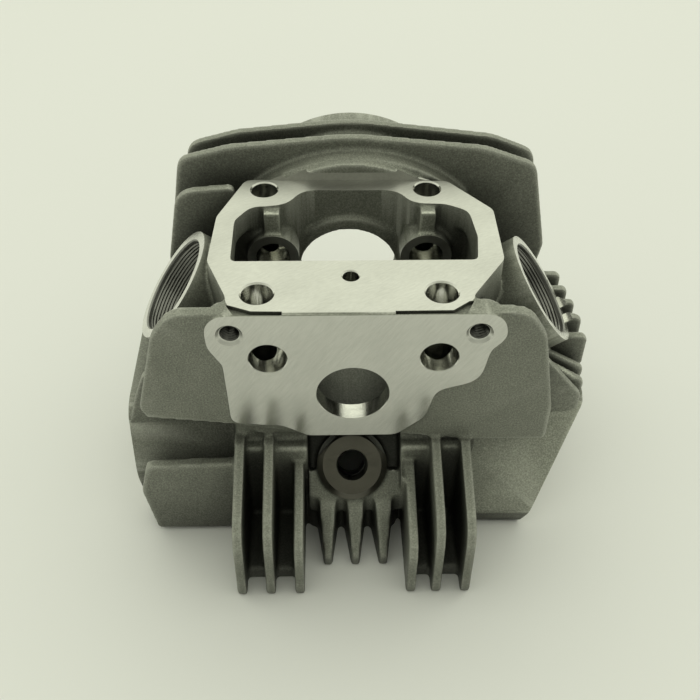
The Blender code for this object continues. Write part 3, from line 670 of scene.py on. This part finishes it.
def fill_mouths(bm):
    """Closes each drilled mouth, so that the rounded blank is drilled into solid metal."""
    for point, out, radius in drilled_mouths():
        turn = axis_turn(out)
        rows = []
        for height in (-MOUTH_FILL, STOCK):
            ring = [p + Vector((0, 0, height)) for p in circle(radius + MOUTH_MARGIN, 48)]
            rows.append([bm.verts.new(point + turn @ p) for p in ring])
        count = len(rows[0])
        for i in range(count):
            j = (i + 1) % count
            bm.faces.new((rows[0][i], rows[0][j], rows[1][j], rows[1][i]))
        bm.faces.new(rows[0][::-1])
        bm.faces.new(rows[1])


def casting_blank():
    """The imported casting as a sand-cast blank with rounded edges and filled corners."""
    mesh = frame["nodes"]["head_casting"].data.copy()
    mesh.transform(Matrix.Translation(ORIGIN) @ Matrix.Scale(1 / MM, 4))
    bm = bmesh.new()
    bm.from_mesh(mesh)
    bmesh.ops.remove_doubles(bm, verts=bm.verts, dist=SAME_POINT)
    bm.to_mesh(mesh)
    bm.free()
    leave_stock(mesh)
    bm = bmesh.new()
    bm.from_mesh(mesh)
    fill_mouths(bm)
    bm.to_mesh(mesh)
    bm.free()
    mesh.materials.clear()
    mesh.materials.append(CAST)
    blank = bpy.data.objects.new("casting", mesh)
    bpy.context.scene.collection.objects.link(blank)
    remesh = blank.modifiers.new("skin", "REMESH")
    remesh.mode = "VOXEL"
    remesh.voxel_size = VOXEL
    smooth = blank.modifiers.new("rounding", "SMOOTH")
    smooth.factor = 0.5
    smooth.iterations = SMOOTH_STEPS
    bake_modifiers(blank)
    blank.data.calc_loop_triangles()
    thin = blank.modifiers.new("thin", "DECIMATE")
    thin.ratio = min(1, BLANK_TRIANGLES / len(blank.data.loop_triangles))
    bake_modifiers(blank)
    mark_smooth_skin(blank.data)
    return blank


def mark_smooth_skin(mesh):
    """Gives the tappet necks, rocker ribs and the intake duct's front a smoother, paler skin."""
    mesh.materials.append(CAST_SMOOTH)
    centres = np.empty(len(mesh.polygons) * 3)
    mesh.polygons.foreach_get("center", centres)
    centres = centres.reshape(-1, 3)
    smooth = np.zeros(len(centres), dtype=bool)
    for kind in TAPPETS:
        away = centres - np.array(TAPPETS[kind]["face"])
        along = away @ np.array(tappet_direction(kind))
        off_axis = np.sqrt(np.maximum((away**2).sum(axis=1) - along**2, 0))
        smooth |= (off_axis > 16) & (off_axis < 19.4) & (along > -12) & (along < 2)
    for x in ROCKER_XS:
        beside = np.abs(centres[:, 0] - x) < RIB_HALF_T
        in_front = np.abs(centres[:, 1] - RIB_FRONT_Y) < 1
        smooth |= beside & in_front & (centres[:, 2] > ROCKER_Z + ROCKER_BOSS_R - 1)
    point, out = DUCT_FRONT
    on_duct = np.abs((centres - np.array(point)) @ np.array(out)) < 0.7
    smooth |= on_duct & (centres[:, 0] > 41) & (centres[:, 2] > 4)
    mesh.polygons.foreach_set("material_index", smooth.astype(np.int32))


def milling_cutters():
    """What faces off each machined plane."""
    along_x, along_y = Vector((1, 0, 0)), Vector((0, 1, 0))
    front_middle = (FRONT_PLATE_MIDDLE[0], FRONT_FACE_Y, FRONT_PLATE_MIDDLE[1])
    back_middle = (HOUSING_X, BACK_FACE_Y, CAM_Z)
    cutters = [
        slab("deck_cut", (0, 0, 0), (0, 0, -1), along_x, DECK_HALF, FACED),
        prism("top_cut", TOP_FACE, TOP_Z, TOP_Z + 4, TOP_MILLED),
        slab("front_cut", front_middle, (0, -1, 0), along_x, FRONT_PLATE_HALF, FRONT_MILLED),
        slab("back_cut", back_middle, (0, 1, 0), along_x, HOUSING_HALF, FACED),
    ]
    for kind in TAPPETS:
        centre, out = flange(kind)
        cutters.append(slab(kind + "_flange_cut", centre, out, along_y, FLANGE_HALF, FACED))
        face, out = TAPPETS[kind]["face"], tappet_direction(kind)
        radius = TAPPETS[kind]["ring_r"]
        stations = [(0, radius), (FACING_HEIGHT, radius)]
        cutters.append(bored(kind + "_ring_cut", face, out, stations, RING_FACED[kind], 96))
    stations = [(0, PLUG_FACE_R), (1.8, PLUG_FACE_R)]
    cutters.append(bored("plug_cut", PLUG_FACE, PLUG_OUT, stations, PLUG_FACED))
    outside = PLUG_BOSS_R + 2.5
    rim = [
        (PLUG_RIM_R, 0), (PLUG_BOSS_R + PLUG_RIM_REACH, -PLUG_RIM_DROP), (outside, -PLUG_RIM_DROP),
        (outside, CLEAR), (PLUG_RIM_R, CLEAR),
    ]
    rim_cut = turned("plug_rim_cut", rim, PLUG_RIM)
    rim_cut.data.transform(Matrix.Translation(PLUG_FACE) @ axis_turn(PLUG_OUT).to_matrix().to_4x4())
    cutters.append(rim_cut)
    for x in ROCKER_XS:
        face = (x, ROCKER_BOSS_Y, ROCKER_Z)
        radius = ROCKER_BOSS_R + 0.5
        stations = [(0, radius), (FACING_HEIGHT, radius)]
        cutters.append(bored("boss_cut", face, (0, -1, 0), stations, BOSS_FACED))
    for outline in CORNER_STEPS:
        cutters.append(prism("corner_step", outline, CORNER_STEP_Z, TOP_Z + 3, CAST))
    for side in (-1, 1):
        out = (PLUG_UP + Vector((side, 0, 0))).normalized()
        centre = PLUG_FACE + out * PLUG_FLAT_DISTANCE - PLUG_OUT * 2
        cutters.append(slab("plug_flat", centre, out, PLUG_OUT, PLUG_FLAT_HALF, CAST, 2.0))
    return cutters


def hole_cutters():
    """The bores, stud holes and tapped holes."""
    down, back = Vector((0, 0, -1)), Vector((0, 1, 0))
    made = []

    def drill(name, mouth, into, radius, depth, through=False, count=64):
        made.append(hole(name, mouth, into, radius, depth, CHAMFERS[name], BORED, through, count))

    drill("oil_hole", (*OIL_HOLE[:2], TOP_Z), down, OIL_HOLE[2], OIL_HOLE_DEPTH, count=40)
    drill("cam_bore", (CENTRE_X, FRONT_FACE_Y, CAM_Z), back, CAM_FRONT_BORE_R, CAM_BORE_DEPTH)
    for x, y, radius in STUD_HOLES:
        drill("stud_hole", (x, y, TOP_Z), down, radius, TOP_Z, True)
    for x in ROCKER_XS:
        depth = ROCKER_END_Y - FRONT_FACE_Y
        drill("rocker_bore", (x, FRONT_FACE_Y, ROCKER_Z), back, ROCKER_BORE_R, depth)
    for x, z in FRONT_BOLTS:
        made += tapped_m6("front_bolt", (x, FRONT_FACE_Y, z), back)
    for x, z in cover_bolts():
        made += tapped_m6("cover_bolt", (x, BACK_FACE_Y, z), -back)
    radius = SPROCKET_CHAMBER_R
    room = [(-CLEAR, radius + 3), (1, radius), (SPROCKET_CHAMBER_DEPTH, radius)]
    made.append(bored("sprocket_room", (HOUSING_X, BACK_FACE_Y, CAM_Z), -back, room, FACED, 128))
    plug = (PLUG_RADII, FINE_PITCH, PLUG_DEPTHS, 0.1, SHADED_DEEP_THREAD, 40)
    made.append(threaded("plug_hole", PLUG_FACE, -PLUG_OUT, *plug))
    return made


def side_cutters(kind):
    """Tappet opening, port and flange bolt holes of one side."""
    face, out = TAPPETS[kind]["face"], tappet_direction(kind)
    thread = TAPPET_THREAD
    radii = (TAPPET_BORE_R, TAPPET_BORE_R + thread["height"])
    cutters = [threaded(
        kind + "_tappet", face, -out, radii, FINE_PITCH, thread["depths"], thread["chamfer"],
        SHADED_TAPPET_THREAD, 96, thread["lead"],
    )]
    centre, out = flange(kind)
    port = PORTS[kind]
    inward = Vector((-port["side"], 0, 0))
    radius = port["radius"]
    stations = [(-PORT_CLEAR, radius), (abs(centre.x) - PORT_END_X, radius)]
    cutters.append(bored(kind + "_port", centre, inward, stations, CAST))
    for y in (-port["bolt_y"], port["bolt_y"]):
        cutters += tapped_m6(kind + "_flange_bolt", centre + Vector((0, y, 0)), -out)
    return cutters


def valve_cutters(kind):
    """Throat, seat bore, guide bore and spring pocket on one valve's axis."""
    matrix = valve_matrix(kind)
    into = matrix.to_3x3() @ Vector((0, 0, 1))
    head_r = HEAD_R[kind]
    bores = (
        ("throat", -1, 14, head_r - THROAT_WALL),
        ("seat_bore", -5, SEAT_S[1] + 0.3, head_r + SEAT_WALL + PRESS_GAP),
        ("guide_bore", 10, 36, GUIDE_R + PRESS_GAP),
        ("pocket", POCKET_S - 0.05, 66, POCKET_R),
    )
    made = []
    for name, low, high, radius in bores:
        mouth = matrix @ Vector((0, 0, low))
        made.append(bored(kind + "_" + name, mouth, into, [(0, radius), (high - low, radius)], BORED))
    return made


def chamber_cutter():
    """The combustion chamber, a spherical cap."""
    profile = [(0, -20), (DOME_R * 0.85, -20)]
    rim = math.degrees(math.asin(-DOME_CENTRE_Z / DOME_R)) - 4
    steps = 16
    for i in range(steps):
        angle = math.radians(rim + (90 - rim) * i / steps)
        profile.append((DOME_R * math.cos(angle), DOME_CENTRE_Z + DOME_R * math.sin(angle)))
    profile.append((0, DOME_CENTRE_Z + DOME_R))
    cutter = turned("chamber", profile, CHAMBER, 96)
    cutter.data.transform(Matrix.Translation((CENTRE_X, 0, 0)))
    return cutter


def build_casting():
    casting = casting_blank()
    cutters = milling_cutters() + hole_cutters() + [chamber_cutter()]
    for kind in TAPPETS:
        cutters += side_cutters(kind) + valve_cutters(kind)
    carve(casting, cutters)
    shade(casting)
    settle(casting)
    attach(casting, "head")
    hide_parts("head_casting")


# ---------------------------------------------------------------- the valve sets


def coil(name, mean_r, wire_r, turns, material):
    """A spring on the valve's axis, with one closed turn at each end."""
    per_turn, around = 30, 12
    closed_pitch = 2 * wire_r + 0.25
    low, high = SPRING_S[0] + wire_r, SPRING_S[1] - wire_r
    open_pitch = (high - low - 2 * closed_pitch) / (turns - 2)
    rings = []
    for i in range(round(turns * per_turn) + 1):
        turn = i / per_turn
        height = low + closed_pitch * min(turn, 1) + open_pitch * min(max(turn - 1, 0), turns - 2)
        height += closed_pitch * max(turn - (turns - 1), 0)
        angle = 2 * math.pi * turn
        out = Vector((math.cos(angle), math.sin(angle), 0))
        centre = out * mean_r + Vector((0, 0, height))
        rings.append([centre + out * p.x + Vector((0, 0, p.y)) for p in circle(wire_r, around)])
    return loft(name, rings, material)


def valve_profile(head_r):
    groove_low, groove_high = COLLET_GROOVE_S
    neck = []
    for i in range(7):
        share = i / 6
        radius = STEM_R + (head_r * 0.6 - STEM_R) * (1 - share) ** 2.2
        neck.append((radius, 4.4 + 9.6 * share))
    return [
        (0, 0.5), (head_r * 0.6, 0.5), (head_r - 1.2, 0), (head_r, 0.2), (head_r, 1.2),
        (head_r - 2.0, 3.2), *neck, (STEM_R, groove_low), (STEM_R - 0.5, groove_low + 0.3),
        (STEM_R - 0.5, groove_high - 0.3), (STEM_R, groove_high), (STEM_R, VALVE_LENGTH - 0.5),
        (STEM_R - 0.5, VALVE_LENGTH), (0, VALVE_LENGTH),
    ]


def seat_profile(head_r):
    low, high = SEAT_S
    outer, inner = head_r + SEAT_WALL, head_r - 2.1
    return [
        (head_r + 0.45, low), (outer - 0.4, low), (outer, low + 0.4), (outer, high), (inner, high),
        (inner, low + 2.85),
    ]


def guide_profile():
    low, high = GUIDE_S
    groove_low, groove_high = CLIP_GROOVE_S
    return [
        (GUIDE_BORE_R, low), (GUIDE_R - 1.2, low), (GUIDE_R, low + 4),
        (GUIDE_R, groove_low - 0.1), (GUIDE_R - 0.8, groove_low),
        (GUIDE_R - 0.8, groove_high), (GUIDE_R, groove_high + 0.1),
        (GUIDE_R, high - 0.5), (GUIDE_R - 0.5, high), (GUIDE_BORE_R, high),
    ]


def clip_profile():
    middle, height, wire = GUIDE_R + 0.05, sum(CLIP_GROOVE_S) / 2, 0.5
    return [(middle + p.x, height + p.y) for p in circle(wire, 10)]


def seal_profile():
    low = GUIDE_S[1] + 0.3
    return [
        (GUIDE_BORE_R, low), (4.6, low), (4.6, low + 1.6), (4.0, low + 2.0), (4.0, low + 3.0),
        (3.4, low + 3.6), (GUIDE_BORE_R, low + 3.6),
    ]


def spring_seat_profile():
    low, high = POCKET_S + 0.3, POCKET_S + 1.6
    inner, outer = GUIDE_R + 0.5, POCKET_R - 0.65
    return [
        (inner, low), (outer - 0.2, low), (outer, low + 0.2), (outer, high - 0.2),
        (outer - 0.2, high), (inner, high),
    ]


def retainer_profile():
    low, high = RETAINER_S
    return [
        (4.0, low - 1.4), (5.5, low - 1.4), (5.8, low), (10.9, low), (11.2, low + 0.4),
        (11.2, low + 1.4), (10.6, low + 1.8), (7.4, low + 2.0), (6.6, high), (5.2, high),
    ]


def collet(name, first_degrees, material):
    """One half of a split cone that grips the stem groove."""
    low, high = RETAINER_S[0] - 1.2, RETAINER_S[1]
    groove_low, groove_high = COLLET_GROOVE_S
    bore, bead = STEM_R + 0.1, STEM_R - 0.25
    profile = [
        (bore, low), (3.6, low), (4.85, high), (bore, high), (bore, groove_high - 0.1),
        (bead, groove_high - 0.4), (bead, groove_low + 0.4), (bore, groove_low + 0.1),
    ]
    rings = []
    steps = 24
    for i in range(steps + 1):
        angle = math.radians(first_degrees + 170 * i / steps)
        rings.append([(r * math.cos(angle), r * math.sin(angle), s) for r, s in profile])
    return loft(name, rings, material)


def build_valve_set(kind):
    head_r = HEAD_R[kind]
    steel, seat, spring = METALS["valve_steel"], METALS["seat_steel"], METALS["spring_steel"]
    bronze, rubber = METALS["guide_bronze"], METALS["seal_rubber"]
    moving = {
        "valve": turned(kind + "_poppet", valve_profile(head_r), steel),
        "spring_retainer": turned(kind + "_retainer", retainer_profile(), seat),
        "collet_a": collet(kind + "_collet_half_a", 5, seat),
        "collet_b": collet(kind + "_collet_half_b", 185, seat),
    }
    fixed = {
        "valve_seat": turned(kind + "_seat_ring", seat_profile(head_r), seat),
        "valve_guide": turned(kind + "_guide", guide_profile(), bronze, 48),
        "guide_clip": turned(kind + "_clip", clip_profile(), spring, 48),
        "stem_seal": turned(kind + "_seal", seal_profile(), rubber, 48),
        "spring_seat": turned(kind + "_spring_washer", spring_seat_profile(), seat),
    }
    springs = {
        size + "_spring": coil(f"{kind}_{size}_coil", *COILS[size], spring) for size in COILS
    }
    matrix = valve_matrix(kind)
    for node, piece in {**moving, **fixed, **springs}.items():
        shade(settle(piece, matrix))
        body = kind + "_valve_assembly" if node in moving else "head"
        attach(piece, body)
        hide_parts(kind + "_" + node)
        if node in springs:
            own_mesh(piece)


# ---------------------------------------------------------------- stage


def build_floor():
    bm = bmesh.new()
    corners = ((-1, -1), (1, -1), (1, 1), (-1, 1))
    bm.faces.new([bm.verts.new((x * FLOOR_HALF, y * FLOOR_HALF, FLOOR_Z)) for x, y in corners])
    material, shader, add, link = principled("floor", 0.0, 0.6)
    cloud = noise(add, link, object_coordinates(add, link), 2.0, 2.0)
    paper = ramp(add, link, cloud, [(0.3, (0.79, 0.79, 0.79)), (0.7, (0.81, 0.81, 0.81))])
    link(paper, shader.inputs["Base Color"])
    object_from("floor", bm, material)


def build_lights():
    """A wide soft sky, brighter above and behind the part than in front of it."""
    world = bpy.data.worlds.new("studio")
    world.use_nodes = True
    tree = world.node_tree
    background = tree.nodes["Background"]
    background.inputs["Color"].default_value = SKY_COLOUR
    direction = tree.nodes.new("ShaderNodeTexCoord")
    tilt = tree.nodes.new("ShaderNodeVectorMath")
    tilt.operation = "DOT_PRODUCT"
    tilt.inputs[1].default_value = SKY_SLOPE
    tree.links.new(direction.outputs["Generated"], tilt.inputs[0])
    level = tree.nodes.new("ShaderNodeMath")
    level.operation = "ADD"
    level.inputs[1].default_value = SKY_LEVEL
    tree.links.new(tilt.outputs["Value"], level.inputs[0])
    floor = tree.nodes.new("ShaderNodeMath")
    floor.operation = "MAXIMUM"
    floor.inputs[1].default_value = SKY_LEAST
    tree.links.new(level.outputs["Value"], floor.inputs[0])
    tree.links.new(floor.outputs["Value"], background.inputs["Strength"])
    bpy.context.scene.world = world
    bpy.context.scene.view_settings.view_transform = "Standard"


def build_camera():
    """The camera of the reference view: 43 degrees down on the cam cover side."""
    down, yaw, roll = map(math.radians, (CAMERA_DOWN_DEG, CAMERA_YAW_DEG, CAMERA_ROLL_DEG))
    place = (CAMERA_PLACE - ORIGIN) * MM
    forward = Vector((math.sin(yaw) * math.cos(down), math.cos(yaw) * math.cos(down), -math.sin(down)))
    level = Vector((math.cos(yaw), -math.sin(yaw), 0))
    above = level.cross(forward)
    right = math.cos(roll) * level + math.sin(roll) * above
    up = -math.sin(roll) * level + math.cos(roll) * above
    data = bpy.data.cameras.new("camera")
    data.sensor_width = SENSOR_MM
    data.lens = LENS_MM
    data.clip_start = 0.01
    camera = bpy.data.objects.new("camera", data)
    turn = Matrix((right, up, -forward)).transposed().to_4x4()
    camera.matrix_world = Matrix.Translation(place) @ turn
    bpy.context.scene.collection.objects.link(camera)
    bpy.context.scene.camera = camera


build_casting()
build_valve_set("intake")
build_valve_set("exhaust")
build_floor()
build_lights()
build_camera()
